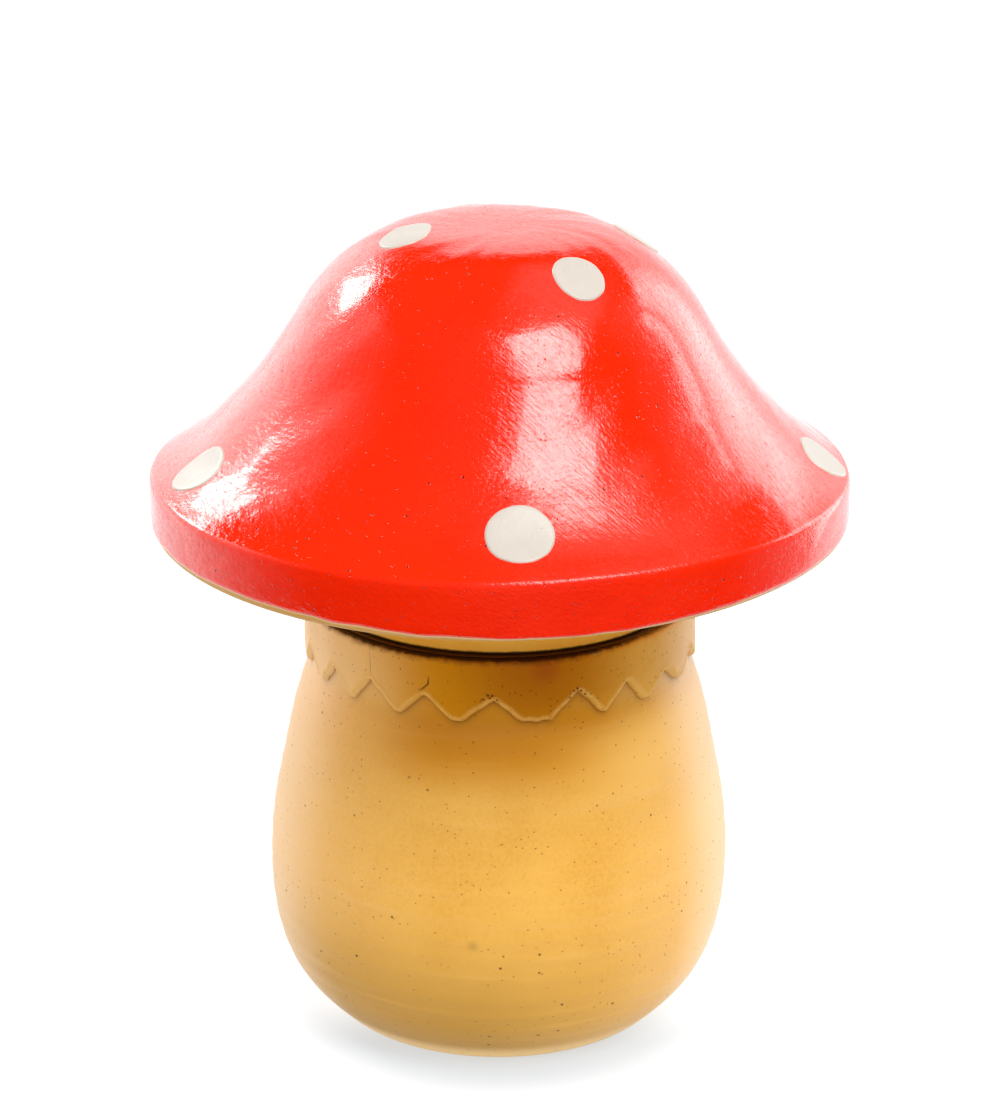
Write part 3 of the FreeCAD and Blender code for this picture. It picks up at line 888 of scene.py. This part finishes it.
# Name, node, angle, radius, length, width, lean, and waves of the outline: how many, size, angle
spots = (
    ("spot_front", "lower_spot_1", 3.5, 36.4, 7.8, 7.55, -2, ((3, 0.008, 40), (5, 0.006, 0))),
    ("spot_right", "lower_spot_2", 84.9, 38.9, 8.2, 6.7, 0, ((3, 0.01, 100),)),
    ("spot_back_right", "lower_spot_3", 151.0, 36.9, 7.9, 7.2, 20, ((3, 0.02, 40), (4, 0.01, 0))),
    ("spot_back_left", "lower_spot_4", -141.0, 36.6, 7.7, 7.5, -15, ((3, 0.02, 300),)),
    ("spot_left", "lower_spot_5", -71.6, 37.35, 7.9, 7.3, -38, ((3, 0.012, 150),)),
    ("spot_high_right", "upper_spot_1", 33.7, 16.5, 7.05, 6.25, -67, ((3, 0.008, 80),)),
    ("spot_high_far_right", "upper_spot_2", 109.0, 17.4, 7.0, 6.3, 25, ((3, 0.02, 10),)),
    ("spot_high_back", "upper_spot_3", -165.0, 16.4, 6.8, 6.0, 10, ((3, 0.02, 250),)),
    ("spot_high_left", "upper_spot_4", -76.8, 11.5, 8.3, 5.6, 37, ((3, 0.03, 190),)),
)
for row in spots:
    spot(*row, white_finish)


# Floor, light and camera

def make_floor():
    """White sheet that ends in front of the object, out of the picture, with a painted contact shadow round
    the foot.
    """
    front, back, narrow, wide = -0.08, 1.3, 0.1, 0.9
    mesh = bpy.data.meshes.new("floor")
    points = [(-narrow, front, 0), (narrow, front, 0), (wide, back, 0), (-wide, back, 0)]
    mesh.from_pydata(points, [], [(0, 1, 2, 3)])
    nodes, shader = finish("white_paper")
    place = nodes.point()
    paper = nodes.blend(nodes.noise(place, 0.4, 2.0) * 0.5 + 0.5, tone(126, 128, 131), tone(130, 132, 135))
    # Painted shadow: the floor glows less near the foot, most in front of it
    painted_contact_shadow = (place + (0, 2.5, 0)).length().fall(foot_radius, foot_radius + 12)
    painted_contact_shadow = painted_contact_shadow * (place.part(1).fall(-18, -4) * 0.7 + 0.3)
    glow_with_painted_shadow = nodes.blend(painted_contact_shadow, (1, 1, 1, 1), tone(200, 204, 207))
    nodes.put(shader.inputs["Emission Color"], glow_with_painted_shadow)
    glaze(nodes, shader, paper, nodes.noise(place, 3.0) * 0.02 + 0.9, nodes.noise(place, 0.4) * 0.01,
          {"Specular IOR Level": 0.0, "Emission Strength": 0.94})
    mesh.materials.append(nodes.owner)
    floor = bpy.data.objects.new("floor", mesh)
    bpy.context.scene.collection.objects.link(floor)


def lamp(name, angle, elevation, width, height, brightness):
    """Lamp that faces the object and shows in its glaze. Its place and sizes are in degrees."""
    turn, up = math.radians(angle), math.radians(elevation)
    target = Vector((0, 0, lamp_target))
    middle = Vector(placed(math.cos(up), math.sin(up), turn)) * lamp_distance + target
    wide, tall = math.radians(width) * lamp_distance, math.radians(height) * lamp_distance
    light = bpy.data.lights.new(name, "AREA")
    light.shape = "RECTANGLE"
    light.size = wide
    light.size_y = tall
    light.energy = brightness * math.pi * wide * tall
    made = bpy.data.objects.new(name, light)
    made.location = middle
    made.rotation_mode = "QUATERNION"
    made.rotation_quaternion = (middle - target).to_track_quat("Z", "Y")
    made.visible_camera = False
    bpy.context.scene.collection.objects.link(made)


def make_world():
    """Room that is dark in front of the object, paler at its sides and white behind it."""
    world = bpy.data.worlds.new("studio")
    nodes = Nodes(world)
    direction = nodes.node("ShaderNodeTexCoord", {}, {}, "Generated")
    height = direction.part(2)
    level = (direction * (1, 1, 0)).length().most(0.001)
    behind = direction.part(1) / level
    across = direction.part(0)
    right = across.rise(-0.02, 0.02)
    left_room = (behind + 0.53).most(0).least(1) ** 1.8 * 1.5
    right_room = (behind + 0.2).most(0).least(1) * 0.75
    sides = (left_room + (right_room - left_room) * right) * height.fall(0.62, 0.74) * behind.fall(0.50, 0.56)
    wall = 1.1 + (1 - right) * behind.fall(0.90, 0.99) * 0.8 + right * behind.fall(0.74, 0.89) * 2.6
    backdrop = behind.rise(0.50, 0.56) * height.fall(0.50, 0.55) * wall
    overhead = height.rise(0.7, 0.9) * (across.rise(0.0, 0.3) * 0.6 + 0.03)
    room = sides + backdrop + overhead + 0.01
    fill = direction.dot((-0.10, -0.86, 0.5)).most(0) ** 3 * 1.25 + height.most(0) * 0.25 + 0.08
    camera = nodes.node("ShaderNodeLightPath", {}, {}, "Is Camera Ray")
    through = nodes.node("ShaderNodeLightPath", {}, {}, "Is Transmission Ray")
    diffuse = nodes.node("ShaderNodeLightPath", {}, {}, "Is Diffuse Ray")
    seen = (camera + through).least(1)
    background = nodes.tree.nodes["Background"]
    nodes.put(background.inputs["Color"], (1, 1, 1, 1))
    nodes.put(background.inputs["Strength"], seen + (1 - seen) * (room + diffuse * fill))
    bpy.context.scene.world = world


def make_camera():
    lens = bpy.data.cameras.new("camera")
    lens.sensor_width = 36.0
    lens.lens = camera_focal * lens.sensor_width / photo_height
    camera = bpy.data.objects.new("camera", lens)
    camera.location = camera_place / metre
    camera.rotation_euler = (math.radians(90 - camera_drop), 0, 0)
    bpy.context.scene.collection.objects.link(camera)
    bpy.context.scene.camera = camera


make_floor()
make_world()
make_camera()
lamp("window", 33, 52.5, 28, 27, 9.5)
lamp("left_glint", -133, 30, 17, 12, 11.0)
lamp("right_glint", 112.5, 19, 7, 22, 5.0)
bpy.context.scene.view_settings.view_transform = "Standard"
